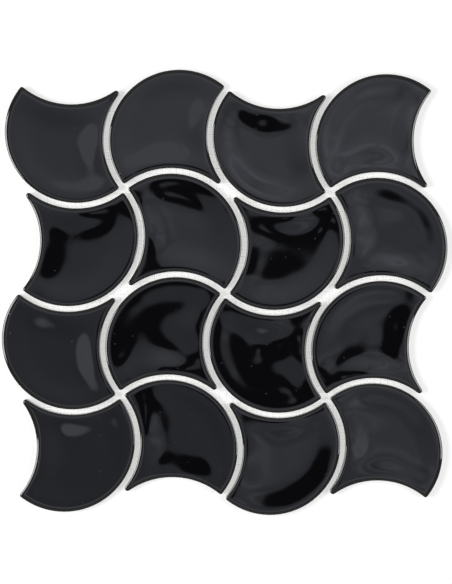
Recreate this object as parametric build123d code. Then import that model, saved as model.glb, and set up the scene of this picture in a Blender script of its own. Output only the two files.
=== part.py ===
from build123d import *
from math import hypot, sqrt
import os

# A square sheet of glazed fan chips, laid face up in waves on a thin net. Millimetres.
rows = 4
columns = 4
pitch = 61.0            # from chip to chip, along a row and down a column
joint = 3.3             # open joint between two chips
centre_drop = 2.7       # how far the round side's centre lies below the middle of its cell
chip_thickness = 5.5
edge_radius = 1.0       # rounding of the face's edge
tip_radius = 1.3        # rounding of the two side tips in plan
nose_radius = 1.6       # rounding of the narrow end between the hollow sides
net_thickness = 0.5
net_setback = 14.0      # the net stops this far inside the outermost grid lines

# A fan stands with its round side up. Its cell is a square on its corner, so that
# the side corners of the cell are half a diagonal away from the middle.
half_diagonal = pitch / sqrt(2)
joint_line_radius = hypot(half_diagonal, centre_drop)
round_radius = joint_line_radius - joint / 2
hollow_radius = joint_line_radius + joint / 2
round_centre = Vector(0, -centre_drop)
hollow_centre = Vector(half_diagonal + centre_drop, -half_diagonal)


def meeting_point(centre_a, radius_a, centre_b, radius_b):
    # the upper right one of the two points where two circles cross
    apart = (centre_b - centre_a).length
    along = (radius_a ** 2 - radius_b ** 2 + apart ** 2) / (2 * apart)
    aside = sqrt(radius_a ** 2 - along ** 2)
    forward = (centre_b - centre_a).normalized()
    left = Vector(-forward.Y, forward.X)
    return centre_a + forward * along + left * aside


def point_on(centre, radius, toward):
    return centre + (toward - centre).normalized() * radius


def mirrored(point):
    return Vector(-point.X, point.Y)


# the side tip, rounded between the round side and the hollow side
tip_centre = meeting_point(
    round_centre, round_radius - tip_radius, hollow_centre, hollow_radius + tip_radius
)
tip_on_round = point_on(round_centre, round_radius, tip_centre)
tip_on_hollow = point_on(hollow_centre, hollow_radius, tip_centre)
tip_middle = point_on(tip_centre, tip_radius, meeting_point(
    round_centre, round_radius, hollow_centre, hollow_radius
))

# the nose, a full round that runs into both hollow sides
nose_rise = sqrt((hollow_radius + nose_radius) ** 2 - hollow_centre.X ** 2)
nose_centre = Vector(0, hollow_centre.Y + nose_rise)
nose_on_hollow = point_on(hollow_centre, hollow_radius, nose_centre)
nose_end = nose_centre - Vector(0, nose_radius)

apex = round_centre + Vector(0, round_radius)
hollow_middle = point_on(hollow_centre, hollow_radius, (tip_on_hollow + nose_on_hollow) / 2)

with BuildPart() as fan:
    with BuildSketch():
        with BuildLine():
            ThreePointArc(tip_on_round, apex, mirrored(tip_on_round))
            ThreePointArc(mirrored(tip_on_round), mirrored(tip_middle), mirrored(tip_on_hollow))
            ThreePointArc(mirrored(tip_on_hollow), mirrored(hollow_middle), mirrored(nose_on_hollow))
            ThreePointArc(mirrored(nose_on_hollow), nose_end, nose_on_hollow)
            ThreePointArc(nose_on_hollow, hollow_middle, tip_on_hollow)
            ThreePointArc(tip_on_hollow, tip_middle, tip_on_round)
        make_face()
    extrude(amount=chip_thickness)
    fillet(fan.faces().sort_by(Axis.Z)[-1].edges(), edge_radius)

net_width = columns * pitch - 2 * net_setback
net_depth = rows * pitch - 2 * net_setback
net = extrude(Rectangle(net_width, net_depth), net_thickness)

os.makedirs("parts", exist_ok=True)
export_step(net, "parts/mesh_backing.step")

# Row 1 is the far one and column 1 the left one. Odd rows point left and even rows right,
# odd columns point toward the viewer and even columns away, so that the joints make waves.
for row in range(1, rows + 1):
    for column in range(1, columns + 1):
        x = (column - (columns + 1) / 2) * pitch
        y = ((rows + 1) / 2 - row) * pitch
        if column % 2 == 0:
            turn = 45
        else:
            turn = 135
        if row % 2 == 0:
            turn = -turn
        chip = Pos(x, y, net_thickness) * Rot(Z=turn) * fan.part
        export_step(chip, f"parts/fan_chip_r{row}_c{column}.step")
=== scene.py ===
import bpy
import math
from mathutils import Matrix, Vector


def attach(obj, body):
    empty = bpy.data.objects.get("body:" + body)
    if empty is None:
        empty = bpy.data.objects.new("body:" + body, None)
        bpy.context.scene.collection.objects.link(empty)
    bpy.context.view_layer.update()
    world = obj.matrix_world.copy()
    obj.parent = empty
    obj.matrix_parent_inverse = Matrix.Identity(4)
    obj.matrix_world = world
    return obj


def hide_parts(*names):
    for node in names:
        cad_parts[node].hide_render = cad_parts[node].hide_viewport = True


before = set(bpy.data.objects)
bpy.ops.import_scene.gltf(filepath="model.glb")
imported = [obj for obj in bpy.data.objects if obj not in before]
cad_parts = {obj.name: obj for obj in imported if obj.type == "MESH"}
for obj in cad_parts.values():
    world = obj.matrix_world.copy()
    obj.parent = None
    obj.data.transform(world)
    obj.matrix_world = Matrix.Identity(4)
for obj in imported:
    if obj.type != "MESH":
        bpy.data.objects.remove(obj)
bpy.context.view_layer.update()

mm = 0.001


def linear(hexColour):
    # sRGB hex to linear RGBA
    parts = [int(hexColour[i:i + 2], 16) / 255 for i in (1, 3, 5)]
    return tuple(c / 12.92 if c <= 0.04045 else ((c + 0.055) / 1.055) ** 2.4 for c in parts) + (1.0,)


def addNode(tree, kind, inputs=None, **settings):
    # adds a node, sets it and links it: an input is a value or another node's output
    made = tree.nodes.new(kind)
    for name, value in settings.items():
        setattr(made, name, value)
    for name, value in (inputs or {}).items():
        if isinstance(value, bpy.types.NodeSocket):
            tree.links.new(value, made.inputs[name])
        else:
            made.inputs[name].default_value = value
    return made


def newMaterial(name):
    material = bpy.data.materials.new(name)
    material.use_nodes = True
    material.node_tree.nodes.clear()
    return material, material.node_tree


def deselectAll():
    if bpy.context.object and bpy.context.object.mode != "OBJECT":
        bpy.ops.object.mode_set(mode="OBJECT")
    bpy.ops.object.select_all(action="DESELECT")


def makeActive(piece):
    deselectAll()
    bpy.context.view_layer.objects.active = piece
    piece.select_set(True)


def applyModifiers(piece):
    makeActive(piece)
    for modifier in list(piece.modifiers):
        bpy.ops.object.modifier_apply(modifier=modifier.name)


# the chips

sheet = {
    "rows": 4,
    "columns": 4,
    "pitch": 61.0,          # mm from chip to chip
}

# one chip, lying with its round side toward +Y, in millimetres
fanChip = {
    "joint": 3.3,           # open joint to the next chip
    "centreDrop": 2.7,      # centre of the round side below the middle of the cell
    "tipRadius": 1.3,
    "noseRadius": 1.6,
    "back": 0.5,            # height of the unglazed back, on top of the net
    "face": 6.0,            # height of the highest point of the glaze
    "rimRadius": 1.0,       # rounding between wall and face
    "rimWidth": 3.0,        # the glaze rolls off over this width
    "rimDrop": 0.6,         # and by this height
    "rimSteps": 7,
    "stepLength": 1.1,      # spacing of the points round the outline
    "rimRings": 4,          # close rings just inside the rim
    "rimShrink": 0.985,     # each of them against the one before
    "faceRings": 26,
    "wallRings": 3,
    # the pressed face is a shallow dish with a lip along its round, left and right side. The lip of a
    # hollow side is a mound, highest near the middle of the side
    "dish": 0.05,           # rise at dishReach from the middle
    "dishReach": 30.0,
    "lipRise": (0.40, 0.55, 0.55),
    "lipInset": 9.0,        # from the edge to the middle of the rise
    "lipWidth": 3.2,        # how gently it rises
    "moundLength": 12.0,    # how gently a mound falls along its side
    "moundShift": 4.0,      # from the middle of the side toward the tip
    "moundEnds": 0.3,       # share of its rise at the ends of the side
    # how each chip leans, in degrees: up toward the right, up toward the far side. Row 1 is the far row
    "lean": (
        ((-0.5, 0.3), (-0.8, 0.1), (-0.4, 0.15), (0.0, 0.2)),
        ((-1.3, 0.0), (-0.9, -0.3), (0.4, -0.1), (1.2, -0.5)),
        ((0.0, 0.0), (-0.3, 0.3), (0.0, -0.1), (0.65, 0.55)),
        ((-0.6, 0.1), (0.4, -0.55), (-0.6, -0.8), (0.2, 0.0)),
    ),
    # chips that were pressed harder or softer, by row and column: rise of their lips
    "ownLipRise": {
        (1, 2): (0.40, 0.68, 0.58),
        (1, 3): (0.55, 0.55, 0.70),
        (2, 1): (0.40, 0.85, 0.35),
        (2, 2): (0.65, 0.55, 0.55),
        (2, 3): (0.60, 0.95, 0.45),
        (3, 1): (0.40, 0.55, 0.46),
        (3, 2): (0.40, 1.00, 0.50),
        (3, 3): (0.40, 0.65, 0.85),
        (3, 4): (0.40, 1.00, 0.40),
        (4, 1): (0.36, 0.47, 0.55),
        (4, 2): (0.40, 0.95, 0.42),
        (4, 3): (0.45, 0.55, 0.40),
    },
    # low swells and hollows where the glaze ran: right and far from the chip's middle, size and height
    "swells": {
        (2, 1): ((-12, 18, 9, 0.15),),
        (2, 2): ((-12, 0, 8, 0.15), (14, 20, 8, -0.10)),
        (2, 3): ((-4, -2, 7, 0.15),),
        (2, 4): ((14, 14, 9, 0.12),),
        (3, 2): ((-12, -8, 7, 0.15), (6, 10, 7, 0.15)),
        (3, 3): ((-10, 0, 5, -0.12), (2, -6, 6, 0.15)),
        (4, 2): ((-12, 23, 7, 0.15),),
    },
    # the finish
    "glazeColour": "#060607",
    "glazeRoughness": (0.01, 0.05),
    "cloudSize": 14.0,      # the gloss changes over this length
    "glazeEnd": (2.7, 2.9),         # height where the glaze ends, before raggedHeight is taken off
    "raggedHeight": 1.6,
    "raggedSize": 2.5,
    "bodyColours": ("#a9a297", "#cfc9be"),
    "bodyRoughness": 0.85,
    "bodyGrain": 0.6,
    "pinholeSpacing": 9.0,
    "pinholePick": (0.75, 0.95),    # cells drawn above the first have a pinhole, full above the second
    "pinholeRadius": 0.45,
    "pinholeDepth": 0.12,
    "waveSize": 11.0,       # the glaze waves a little over this length
    "waveHeight": 0.025,
}


def makeGlaze():
    # black gloss glaze fired on pale stoneware: a deep black mirror with pinholes here and there. It ends
    # in a ragged line low on the wall, where the bare body shows
    material, tree = newMaterial("blackGlazedStoneware")
    place = addNode(tree, "ShaderNodeTexCoord").outputs["Object"]
    height = addNode(tree, "ShaderNodeSeparateXYZ", {"Vector": place}).outputs["Z"]
    ragged = addNode(tree, "ShaderNodeTexNoise", {
        "Vector": place, "Scale": 1 / (fanChip["raggedSize"] * mm), "Detail": 3.0})
    raggedHeight = addNode(tree, "ShaderNodeMath", {
        0: ragged.outputs["Fac"], 1: fanChip["raggedHeight"] * mm, 2: height}, operation="MULTIPLY_ADD")
    bareBelow, glazedAbove = fanChip["glazeEnd"]
    glazed = addNode(tree, "ShaderNodeMapRange", {
        "Value": raggedHeight.outputs[0], "From Min": bareBelow * mm, "From Max": glazedAbove * mm},
        interpolation_type="SMOOTHSTEP")
    grain = addNode(tree, "ShaderNodeTexNoise", {
        "Vector": place, "Scale": 1 / (fanChip["bodyGrain"] * mm), "Detail": 4.0})
    dark, pale = fanChip["bodyColours"]
    body = addNode(tree, "ShaderNodeMix", {
        "Factor": grain.outputs["Fac"], "A": linear(dark), "B": linear(pale)}, data_type="RGBA")
    colour = addNode(tree, "ShaderNodeMix", {
        "Factor": glazed.outputs["Result"], "A": body.outputs["Result"], "B": linear(fanChip["glazeColour"])},
        data_type="RGBA")
    cloudy = addNode(tree, "ShaderNodeTexNoise", {
        "Vector": place, "Scale": 1 / (fanChip["cloudSize"] * mm), "Detail": 2.0})
    smoothest, roughest = fanChip["glazeRoughness"]
    gloss = addNode(tree, "ShaderNodeMapRange", {
        "Value": cloudy.outputs["Fac"], "To Min": smoothest, "To Max": roughest})
    rough = addNode(tree, "ShaderNodeMix", {
        "Factor": glazed.outputs["Result"], "A": fanChip["bodyRoughness"], "B": gloss.outputs["Result"]},
        data_type="FLOAT")
    # pinholes: a small pit in about a quarter of the cells of a flat pattern, drawn a little large to show
    cells = addNode(tree, "ShaderNodeTexVoronoi", {
        "Vector": place, "Scale": 1 / (fanChip["pinholeSpacing"] * mm)}, voronoi_dimensions="2D")
    pick = addNode(tree, "ShaderNodeSeparateColor", {"Color": cells.outputs["Color"]})
    none, full = fanChip["pinholePick"]
    deep = addNode(tree, "ShaderNodeMapRange", {
        "Value": pick.outputs["Red"], "From Min": none, "From Max": full})
    pit = addNode(tree, "ShaderNodeMapRange", {
        "Value": cells.outputs["Distance"], "From Min": 0.0,
        "From Max": fanChip["pinholeRadius"] / fanChip["pinholeSpacing"], "To Min": -1.0, "To Max": 0.0},
        interpolation_type="SMOOTHSTEP")
    pinhole = addNode(tree, "ShaderNodeMath", {0: pit.outputs["Result"], 1: deep.outputs["Result"]},
                      operation="MULTIPLY")
    wavy = addNode(tree, "ShaderNodeTexNoise", {
        "Vector": place, "Scale": 1 / (fanChip["waveSize"] * mm), "Detail": 0.0})
    wave = addNode(tree, "ShaderNodeBump", {
        "Height": wavy.outputs["Fac"], "Distance": fanChip["waveHeight"] * mm})
    bump = addNode(tree, "ShaderNodeBump", {
        "Height": pinhole.outputs[0], "Strength": 0.6, "Distance": fanChip["pinholeDepth"] * mm,
        "Normal": wave.outputs["Normal"]})
    shader = addNode(tree, "ShaderNodeBsdfPrincipled", {
        "Base Color": colour.outputs["Result"], "Roughness": rough.outputs["Result"], "IOR": 1.52,
        "Normal": bump.outputs["Normal"]})
    addNode(tree, "ShaderNodeOutputMaterial", {"Surface": shader.outputs[0]})
    return material


def crossing(centreA, radiusA, centreB, radiusB):
    # the upper right point where two circles cross
    between = centreB - centreA
    along = (radiusA ** 2 - radiusB ** 2 + between.length_squared) / (2 * between.length)
    aside = math.sqrt(radiusA ** 2 - along ** 2)
    forward = between.normalized()
    return centreA + forward * along + Vector((-forward.y, forward.x, 0)) * aside


def fanOutline():
    # centres and radii of the arcs of a chip, in metres
    halfDiagonal = sheet["pitch"] / math.sqrt(2) * mm
    drop = fanChip["centreDrop"] * mm
    lineRadius = math.hypot(halfDiagonal, drop)
    arcs = {
        "roundRadius": lineRadius - fanChip["joint"] * mm / 2,
        "hollowRadius": lineRadius + fanChip["joint"] * mm / 2,
        "tipRadius": fanChip["tipRadius"] * mm,
        "noseRadius": fanChip["noseRadius"] * mm,
        "round": Vector((0, -drop, 0)),
        "hollow": Vector((halfDiagonal + drop, -halfDiagonal, 0)),
    }
    arcs["tip"] = crossing(arcs["round"], arcs["roundRadius"] - arcs["tipRadius"],
                           arcs["hollow"], arcs["hollowRadius"] + arcs["tipRadius"])
    rise = math.sqrt((arcs["hollowRadius"] + arcs["noseRadius"]) ** 2 - arcs["hollow"].x ** 2)
    arcs["nose"] = Vector((0, arcs["hollow"].y + rise, 0))
    arcs["roundEnd"] = arcs["round"] + (arcs["tip"] - arcs["round"]).normalized() * arcs["roundRadius"]
    arcs["hollowTop"] = arcs["hollow"] + (arcs["tip"] - arcs["hollow"]).normalized() * arcs["hollowRadius"]
    towardNose = (arcs["nose"] - arcs["hollow"]).normalized()
    arcs["hollowFoot"] = arcs["hollow"] + towardNose * arcs["hollowRadius"]
    return arcs


arcs = fanOutline()
flip = Vector((-1, 1, 1))           # left side from right side


def spinArc(centre, start, end, clockwise):
    # draws the outline on from its last point, along an arc about centre
    first = math.atan2(start.y - centre.y, start.x - centre.x)
    last = math.atan2(end.y - centre.y, end.x - centre.x)
    angle = (last - first) % (2 * math.pi)
    if clockwise:
        angle -= 2 * math.pi
    length = abs(angle) * (start - centre).length
    steps = max(6, round(length / (fanChip["stepLength"] * mm)))
    # spin turns the other way
    bpy.ops.mesh.spin(steps=steps, angle=-angle, center=centre, axis=(0, 0, 1))


def sideDistances(x, y):
    # from a point to the round side, the left and the right hollow side
    hollow = arcs["hollow"]
    return (arcs["roundRadius"] - math.hypot(x, y - arcs["round"].y),
            math.hypot(x + hollow.x, y - hollow.y) - arcs["hollowRadius"],
            math.hypot(x - hollow.x, y - hollow.y) - arcs["hollowRadius"])


def edgeDistance(x, y):
    # from a point to the nearest edge, with the rounded tips and nose
    tip = Vector((abs(x), y, 0)) - arcs["tip"]
    if tip.dot(arcs["roundEnd"] - arcs["tip"]) > 0 and tip.dot(arcs["hollowTop"] - arcs["tip"]) > 0:
        return arcs["tipRadius"] - tip.length
    if y < arcs["nose"].y:
        return arcs["noseRadius"] - math.hypot(x, y - arcs["nose"].y)
    return min(sideDistances(x, y))


def modelFan():
    deselectAll()
    bpy.ops.mesh.primitive_plane_add(size=mm, location=(0, 0, 0))
    fan = bpy.context.object
    fan.name = "fanPattern"
    bpy.ops.object.mode_set(mode="EDIT")
    bpy.ops.mesh.select_all(action="SELECT")
    bpy.ops.mesh.merge(type="CENTER")
    bpy.ops.transform.translate(value=arcs["roundEnd"])
    # round side, left tip, left hollow, nose, right hollow, right tip
    spinArc(arcs["round"], arcs["roundEnd"], arcs["roundEnd"] * flip, False)
    spinArc(arcs["tip"] * flip, arcs["roundEnd"] * flip, arcs["hollowTop"] * flip, False)
    spinArc(arcs["hollow"] * flip, arcs["hollowTop"] * flip, arcs["hollowFoot"] * flip, True)
    spinArc(arcs["nose"], arcs["hollowFoot"] * flip, arcs["hollowFoot"], False)
    spinArc(arcs["hollow"], arcs["hollowFoot"], arcs["hollowTop"], True)
    spinArc(arcs["tip"], arcs["hollowTop"], arcs["roundEnd"], False)
    bpy.ops.mesh.select_all(action="SELECT")
    bpy.ops.mesh.remove_doubles(threshold=0.02 * mm)
    bpy.ops.mesh.edge_face_add()
    bpy.ops.transform.translate(value=(0, 0, fanChip["back"] * mm))
    wallStep = (fanChip["face"] - fanChip["back"]) * mm / fanChip["wallRings"]
    for ring in range(fanChip["wallRings"]):
        bpy.ops.mesh.extrude_region_move(TRANSFORM_OT_translate={"value": (0, 0, wallStep)})
    bpy.ops.mesh.region_to_loop()
    bpy.ops.mesh.bevel(offset=fanChip["rimRadius"] * mm, segments=fanChip["rimSteps"], profile=0.5)
    # rings of the face shrink toward the middle
    bpy.ops.mesh.select_all(action="DESELECT")
    bpy.ops.object.mode_set(mode="OBJECT")
    for face in fan.data.polygons:
        face.select = len(face.vertices) > 8 and face.center.z > fanChip["back"] * mm * 2
    bpy.ops.object.mode_set(mode="EDIT")
    rings = fanChip["faceRings"]
    sizes = [fanChip["rimShrink"]] * fanChip["rimRings"]
    sizes += [(ring - 1) / ring for ring in range(rings, 1, -1)]
    for size in sizes:
        bpy.ops.mesh.extrude_region_move(TRANSFORM_OT_translate={"value": (0, 0, 0)})
        bpy.ops.transform.resize(value=(size, size, 1), center_override=(0, 0, 0))
    bpy.ops.mesh.merge(type="CENTER")
    bpy.ops.mesh.select_all(action="SELECT")
    bpy.ops.mesh.normals_make_consistent(inside=False)
    bpy.ops.object.mode_set(mode="OBJECT")
    bpy.ops.object.shade_smooth_by_angle(angle=math.radians(40))
    fan.data.materials.append(makeGlaze())
    return fan


def lipShares(x, y):
    # how much of its full rise the lip of the round, left and right side has beside a point
    shares = [1.0]
    for side in (-1, 1):
        angle = math.atan2(y - arcs["hollow"].y, arcs["hollow"].x - side * x)
        along = (angle - math.radians(45)) * arcs["hollowRadius"] / mm - fanChip["moundShift"]
        bell = math.exp(-along ** 2 / (2 * fanChip["moundLength"] ** 2))
        shares.append(fanChip["moundEnds"] + (1 - fanChip["moundEnds"]) * bell)
    return shares


def chipShape(row, column, turn):
    # what is this chip's own, turned from the sheet's directions into the chip's
    back = Matrix.Rotation(-turn, 2)
    lean = Vector(fanChip["lean"][row - 1][column - 1])
    swells = []
    for right, far, size, rise in fanChip["swells"].get((row, column), ()):
        swells.append((back @ Vector((right, far)) * mm, size * mm, rise * mm))
    return {
        "tilt": back @ lean * math.radians(1),
        "lipRise": fanChip["ownLipRise"].get((row, column), fanChip["lipRise"]),
        "swells": swells,
    }


def reliefAt(shape, x, y):
    # height of the glaze at a point of the face, before it is set below the highest point
    height = shape["tilt"].x * x + shape["tilt"].y * y
    height += fanChip["dish"] * mm * (x ** 2 + y ** 2) / (fanChip["dishReach"] * mm) ** 2
    for rise, distance, share in zip(shape["lipRise"], sideDistances(x, y), lipShares(x, y)):
        away = (distance / mm - fanChip["lipInset"]) / fanChip["lipWidth"]
        height += rise * share * mm / (1 + math.exp(min(30, away)))
    for middle, size, rise in shape["swells"]:
        away = (Vector((x, y)) - middle).length / size
        height += rise * math.exp(-away ** 2 / 2)
    return height


def shapeFace(chip, shape):
    # rolls the rim off, raises the lips and leans the face, with its highest point at the height of the
    # face. The wall follows its own rim
    back = fanChip["back"] * mm
    face = fanChip["face"] * mm
    wallTop = face - fanChip["rimRadius"] * mm * 1.001
    wallShrink = (face - fanChip["rimDrop"] * mm - back) / (wallTop - back)
    roof = []
    for point in chip.data.vertices:
        relief = reliefAt(shape, point.co.x, point.co.y)
        roll = 0
        if point.co.z > wallTop:
            inside = min(1, max(0, edgeDistance(point.co.x, point.co.y)) / (fanChip["rimWidth"] * mm))
            roll = fanChip["rimDrop"] * mm * (1 - math.sqrt(1 - (1 - inside) ** 2))
        roof.append((relief, roll))
    highest = max(relief - roll for relief, roll in roof)
    for point, (relief, roll) in zip(chip.data.vertices, roof):
        if point.co.z > wallTop:
            point.co.z = face + relief - roll - highest
        else:
            share = (point.co.z - back) / (wallTop - back)
            point.co.z = back + (point.co.z - back) * wallShrink + (relief - highest) * share


def layChip(fan, row, column):
    name = "fan_chip_r%d_c%d" % (row, column)
    chip = fan.copy()
    chip.data = fan.data.copy()
    chip.name = "glazed_" + name
    bpy.context.collection.objects.link(chip)
    turn = math.radians(45 if column % 2 == 0 else 135)
    if row % 2 == 0:
        turn = -turn
    shapeFace(chip, chipShape(row, column, turn))
    chip.rotation_euler = (0, 0, turn)
    chip.location = ((column - (sheet["columns"] + 1) / 2) * sheet["pitch"] * mm,
                     ((sheet["rows"] + 1) / 2 - row) * sheet["pitch"] * mm, 0)
    makeActive(chip)
    bpy.ops.object.transform_apply(location=True, rotation=True, scale=True)
    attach(chip, "root")
    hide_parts(name)


fan = modelFan()
print("fan modelled:", len(fan.data.vertices), "points")
for row in range(1, sheet["rows"] + 1):
    for column in range(1, sheet["columns"] + 1):
        layChip(fan, row, column)
bpy.data.objects.remove(fan)
print("chips laid")


# the net behind the chips, in millimetres

backingNet = {
    "width": 216.0,
    "spacing": 4.0,         # from thread to thread
    "threadWidth": 0.32,
    "threadHeight": 0.16,
    "middle": 0.25,         # height of the net's middle
    "wave": 0.12,           # a thread goes over and under by this much
    "drift": 0.9,           # how far a thread wanders sideways
    "driftSize": 22.0,
    "threadSides": 6,
    "yarnColours": ("#f2f2f0", "#fdfdfb"),
    "yarnGrain": 1.5,
}
threadCount = round(backingNet["width"] / backingNet["spacing"])


def makeNetThread():
    # glass-fibre yarn stiffened with clear glue: white and half see-through, a little uneven
    material, tree = newMaterial("whiteGlassYarn")
    place = addNode(tree, "ShaderNodeTexCoord").outputs["Object"]
    uneven = addNode(tree, "ShaderNodeTexNoise", {
        "Vector": place, "Scale": 1 / (backingNet["yarnGrain"] * mm), "Detail": 3.0})
    dull, bright = backingNet["yarnColours"]
    colour = addNode(tree, "ShaderNodeMix", {"Factor": uneven.outputs["Fac"], "A": linear(dull),
                                             "B": linear(bright)}, data_type="RGBA")
    shader = addNode(tree, "ShaderNodeBsdfPrincipled", {
        "Base Color": colour.outputs["Result"], "Roughness": 0.5, "IOR": 1.3, "Transmission Weight": 0.9,
        "Alpha": 0.4})
    addNode(tree, "ShaderNodeOutputMaterial", {"Surface": shader.outputs[0]})
    return material


def modelThread(phase):
    # one thread along X that goes over and under its crossings
    deselectAll()
    bpy.ops.mesh.primitive_cylinder_add(
        vertices=backingNet["threadSides"], radius=backingNet["threadWidth"] * mm / 2,
        depth=backingNet["width"] * mm, rotation=(0, math.pi / 2, 0))
    thread = bpy.context.object
    bpy.ops.object.transform_apply(location=True, rotation=True, scale=True)
    bpy.ops.object.mode_set(mode="EDIT")
    bpy.ops.mesh.select_all(action="SELECT")
    flat = backingNet["threadHeight"] / backingNet["threadWidth"]
    bpy.ops.transform.resize(value=(1, 1, flat), center_override=(0, 0, 0))
    # cut at each crossing and between them, in edge mode, or the edges of the ends would be cut too
    bpy.ops.mesh.select_mode(type="EDGE")
    for cuts in (threadCount - 1, 1):
        bpy.ops.mesh.select_all(action="DESELECT")
        bpy.ops.object.mode_set(mode="OBJECT")
        for edge in thread.data.edges:
            first, last = (thread.data.vertices[i].co for i in edge.vertices)
            edge.select = abs(first.x - last.x) > mm
        bpy.ops.object.mode_set(mode="EDIT")
        bpy.ops.mesh.subdivide(number_cuts=cuts)
    bpy.ops.mesh.select_mode(type="VERT")
    bpy.ops.object.mode_set(mode="OBJECT")
    for point in thread.data.vertices:
        turns = point.co.x / (backingNet["spacing"] * mm)
        point.co.z += backingNet["wave"] * mm * phase * math.sin(math.pi * turns)
    return thread


def modelNet():
    step = backingNet["spacing"] * mm
    layers = []
    for turned in (False, True):
        pair = []
        for k, phase in enumerate((1, -1)):
            thread = modelThread(phase)
            thread.location = (0, (k + 0.5 - threadCount / 2) * step, 0)
            pair.append(thread)
        makeActive(pair[0])
        pair[1].select_set(True)
        bpy.ops.object.transform_apply(location=True, rotation=False, scale=False)
        bpy.ops.object.join()
        layer = bpy.context.object
        rows = layer.modifiers.new("rows", "ARRAY")
        rows.use_relative_offset = False
        rows.use_constant_offset = True
        rows.constant_offset_displace = (0, 2 * step, 0)
        rows.count = threadCount // 2
        applyModifiers(layer)
        if turned:
            layer.rotation_euler = (0, 0, math.pi / 2)
            bpy.ops.object.transform_apply(location=True, rotation=True, scale=True)
        layers.append(layer)
    makeActive(layers[0])
    layers[1].select_set(True)
    bpy.ops.object.join()
    net = bpy.context.object
    net.name = "woven_net"
    net.location = (0, 0, backingNet["middle"] * mm)
    bpy.ops.object.transform_apply(location=True, rotation=True, scale=True)
    # the threads wander a little
    wander = bpy.data.textures.new("wander", "CLOUDS")
    wander.noise_scale = backingNet["driftSize"] * mm
    for axis in ("X", "Y"):
        drift = net.modifiers.new("drift" + axis, "DISPLACE")
        drift.texture = wander
        drift.texture_coords = "LOCAL"
        drift.direction = axis
        drift.mid_level = 0.5
        drift.strength = backingNet["drift"] * mm
    applyModifiers(net)
    bpy.ops.object.shade_smooth_by_angle(angle=math.radians(50))
    net.data.materials.append(makeNetThread())
    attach(net, "root")
    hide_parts("mesh_backing")
    return net


net = modelNet()
print("net woven:", len(net.data.polygons), "faces")


# floor, light and camera

studio = {
    "cameraPlace": (-23.6, 38.5, 1004.0),        # mm
    "cameraTurn": (-2.178, -1.340, 1.105),       # degrees
    "lens": 104.3,
    "sensor": 36.0,
    "paperColour": "#fbfbfa",
    "paperGlow": 0.50,      # share of its own light that the eye sees in the paper
    "lampAside": 0.70,      # m, left and right of the sheet
    "lampUp": 0.80,
    "lampSize": (0.40, 0.50),
    "lampWatts": (8.0, 4.4),        # left and right
    # a tent of white cloth overhead. Its opening lies this many degrees right and far of straight above,
    # and the cloth's brightness is given by degrees from there: a dark ring about the opening, grey cloth,
    # then brighter cloth
    "opening": (1.9, -3.0),
    "tentTop": ((0, 0.50), (0.5, 0.45), (0.9, 0.02), (2.6, 0.02), (3.1, 0.55), (4.5, 0.66),
                (8.2, 0.74), (8.7, 1.2), (12, 1.2)),
    # further down it is dimmer, more so at the left and right sides than at the near and far ends
    "tentEnds": ((13, 0.8), (16, 0.55), (24, 0.5), (32, 0.6), (45, 0.5), (65, 0.4), (90, 0.3)),
    "tentSides": ((13, 0.7), (16, 0.35), (24, 0.3), (32, 0.35), (45, 0.35), (65, 0.3), (90, 0.2)),
    # the grey cloth is brighter toward the far right
    "tentSlant": (0.48, 1.58),      # share of its brightness at the near left and the far right
    "slantReach": 0.2,      # radians from the opening to either
    "slantEnds": (8.2, 8.7),        # degrees from the opening where the slant runs out
    "tentTint": "#ecf0ff",  # cool round the opening
    # soft folds on the right
    "foldSize": (0.06, 0.02),       # radians along X and Y
    "foldDepth": 0.3,       # share by which a fold is brighter or darker
    "foldStart": 0.06,      # radians right of the opening where the folds are at full depth
    "floorSize": 6.0,       # m
}


def makeFloorWhite():
    # white paper, a little of it bright by itself to the eye, so that it goes to white and keeps the shadow
    material, tree = newMaterial("whitePaper")
    paths = addNode(tree, "ShaderNodeLightPath")
    direct = addNode(tree, "ShaderNodeMath", {
        0: paths.outputs["Is Camera Ray"], 1: paths.outputs["Is Glossy Ray"]}, operation="MAXIMUM")
    seen = addNode(tree, "ShaderNodeMath", {
        0: direct.outputs[0], 1: paths.outputs["Is Transmission Ray"]}, operation="MAXIMUM")
    share = addNode(tree, "ShaderNodeMath", {0: seen.outputs[0], 1: studio["paperGlow"]},
                    operation="MULTIPLY")
    paper = addNode(tree, "ShaderNodeBsdfDiffuse", {"Color": linear(studio["paperColour"])})
    glow = addNode(tree, "ShaderNodeEmission", {"Color": (1, 1, 1, 1), "Strength": 1.0})
    mixed = addNode(tree, "ShaderNodeMixShader", {
        0: share.outputs[0], 1: paper.outputs[0], 2: glow.outputs[0]})
    addNode(tree, "ShaderNodeOutputMaterial", {"Surface": mixed.outputs[0]})
    return material


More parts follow.
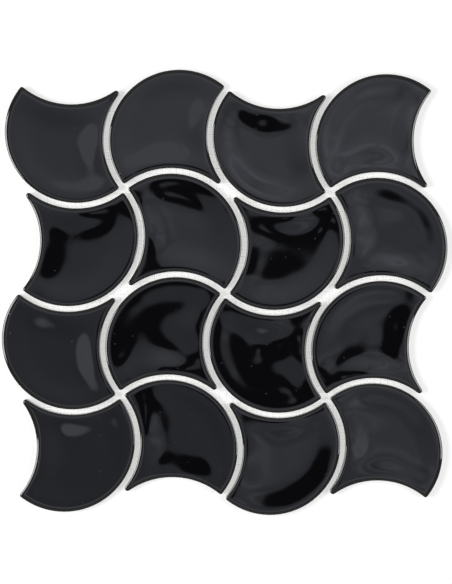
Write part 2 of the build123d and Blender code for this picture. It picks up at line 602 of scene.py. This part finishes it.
def hangTent():
    world = bpy.data.worlds.new("tent")
    bpy.context.scene.world = world
    world.use_nodes = True
    tree = world.node_tree
    tree.nodes.clear()
    direction = addNode(tree, "ShaderNodeTexCoord").outputs["Generated"]
    part = addNode(tree, "ShaderNodeSeparateXYZ", {"Vector": direction})
    aside = []
    for axis, degrees in zip("XY", studio["opening"]):
        offset = -math.tan(math.radians(degrees))
        moved = addNode(tree, "ShaderNodeMath", {0: part.outputs["Z"], 1: offset, 2: part.outputs[axis]},
                        operation="MULTIPLY_ADD")
        aside.append(moved.outputs[0])
    squareX = addNode(tree, "ShaderNodeMath", {0: aside[0], 1: aside[0]}, operation="MULTIPLY")
    squares = addNode(tree, "ShaderNodeMath", {0: aside[1], 1: aside[1], 2: squareX.outputs[0]},
                      operation="MULTIPLY_ADD")
    fromTop = addNode(tree, "ShaderNodeMath", {0: squares.outputs[0]}, operation="SQRT")
    angle = addNode(tree, "ShaderNodeMath", {0: fromTop.outputs[0], 1: part.outputs["Z"]},
                    operation="ARCTAN2")
    share = addNode(tree, "ShaderNodeMath", {0: angle.outputs[0], 1: 1 / math.radians(90)},
                    operation="MULTIPLY")
    # finer at the opening
    spread = addNode(tree, "ShaderNodeMath", {0: share.outputs[0]}, operation="SQRT")
    ramps = []
    for lower in ("tentEnds", "tentSides"):
        ramp = addNode(tree, "ShaderNodeValToRGB", {"Fac": spread.outputs[0]})
        stops = ramp.color_ramp.elements
        for k, (degrees, level) in enumerate(studio["tentTop"] + studio[lower]):
            place = math.sqrt(degrees / 90)
            stop = stops[k] if k < 2 else stops.new(place)
            stop.position = place
            tint = linear(studio["tentTint"]) if k < len(studio["tentTop"]) else (1, 1, 1)
            stop.color = [level * c for c in tint[:3]] + [1]
        ramps.append(ramp.outputs["Color"])
    sideways = addNode(tree, "ShaderNodeMath", {0: squareX.outputs[0], 1: squares.outputs[0]},
                       operation="DIVIDE")
    cloth = addNode(tree, "ShaderNodeMix", {"Factor": sideways.outputs[0], "A": ramps[0], "B": ramps[1]},
                    data_type="RGBA")
    # brighter toward the far right
    diagonal = addNode(tree, "ShaderNodeMath", {0: aside[0], 1: aside[1]}, operation="ADD")
    slant = addNode(tree, "ShaderNodeMapRange", {
        "Value": diagonal.outputs[0], "From Min": -studio["slantReach"], "From Max": studio["slantReach"],
        "To Min": studio["tentSlant"][0], "To Max": studio["tentSlant"][1]})
    starts, ends = (math.radians(v) for v in studio["slantEnds"])
    even = addNode(tree, "ShaderNodeMapRange", {
        "Value": angle.outputs[0], "From Min": starts, "From Max": ends})
    slantLevel = addNode(tree, "ShaderNodeMix", {
        "Factor": even.outputs["Result"], "A": slant.outputs["Result"], "B": 1.0}, data_type="FLOAT")
    slanted = addNode(tree, "ShaderNodeVectorMath", {
        "Vector": cloth.outputs["Result"], "Scale": slantLevel.outputs["Result"]}, operation="SCALE")
    # soft folds on the right
    foldX, foldY = studio["foldSize"]
    drawn = addNode(tree, "ShaderNodeVectorMath", {0: direction, 1: (1 / foldX, 1 / foldY, 1)},
                    operation="MULTIPLY")
    folds = addNode(tree, "ShaderNodeTexNoise", {"Vector": drawn.outputs[0], "Scale": 1.0, "Detail": 1.0})
    foldLevel = addNode(tree, "ShaderNodeMapRange", {
        "Value": folds.outputs["Fac"], "From Min": 0.3, "From Max": 0.7, "To Min": 1 - studio["foldDepth"],
        "To Max": 1 + studio["foldDepth"]})
    onRight = addNode(tree, "ShaderNodeMapRange", {
        "Value": aside[0], "From Min": 0.0, "From Max": studio["foldStart"]})
    level = addNode(tree, "ShaderNodeMix", {"Factor": onRight.outputs["Result"], "A": 1.0,
                                            "B": foldLevel.outputs["Result"]}, data_type="FLOAT")
    folded = addNode(tree, "ShaderNodeVectorMath", {"Vector": slanted.outputs["Vector"],
                                                    "Scale": level.outputs["Result"]}, operation="SCALE")
    # plain white to the eye
    isCamera = addNode(tree, "ShaderNodeLightPath").outputs["Is Camera Ray"]
    colour = addNode(tree, "ShaderNodeMix", {"Factor": isCamera, "A": folded.outputs["Vector"],
                                             "B": (1, 1, 1, 1)}, data_type="RGBA")
    sky = addNode(tree, "ShaderNodeBackground", {"Color": colour.outputs["Result"], "Strength": 1.0})
    addNode(tree, "ShaderNodeOutputWorld", {"Surface": sky.outputs[0]})


def placeLamps():
    for side, name, watts in zip((-1, 1), ("softboxLeft", "softboxRight"), studio["lampWatts"]):
        bpy.ops.object.light_add(type="AREA", location=(side * studio["lampAside"], 0, studio["lampUp"]))
        lamp = bpy.context.object
        lamp.name = name
        lamp.data.shape = "RECTANGLE"
        lamp.data.size, lamp.data.size_y = studio["lampSize"]
        lamp.data.energy = watts
        lamp.rotation_euler = (0, side * math.atan2(studio["lampAside"], studio["lampUp"]), 0)


def placeCamera():
    bpy.ops.object.camera_add(location=[v * mm for v in studio["cameraPlace"]],
                              rotation=[math.radians(v) for v in studio["cameraTurn"]])
    camera = bpy.context.object
    camera.data.sensor_fit = "VERTICAL"
    camera.data.sensor_height = studio["sensor"]
    camera.data.lens = studio["lens"]
    camera.data.clip_end = 20
    bpy.context.scene.camera = camera


deselectAll()
bpy.ops.mesh.primitive_plane_add(size=studio["floorSize"], location=(0, 0, 0))
floor = bpy.context.object
floor.name = "floor"
floor.data.materials.append(makeFloorWhite())
hangTent()
placeLamps()
placeCamera()
bpy.context.scene.view_settings.view_transform = "Standard"
print("studio set")
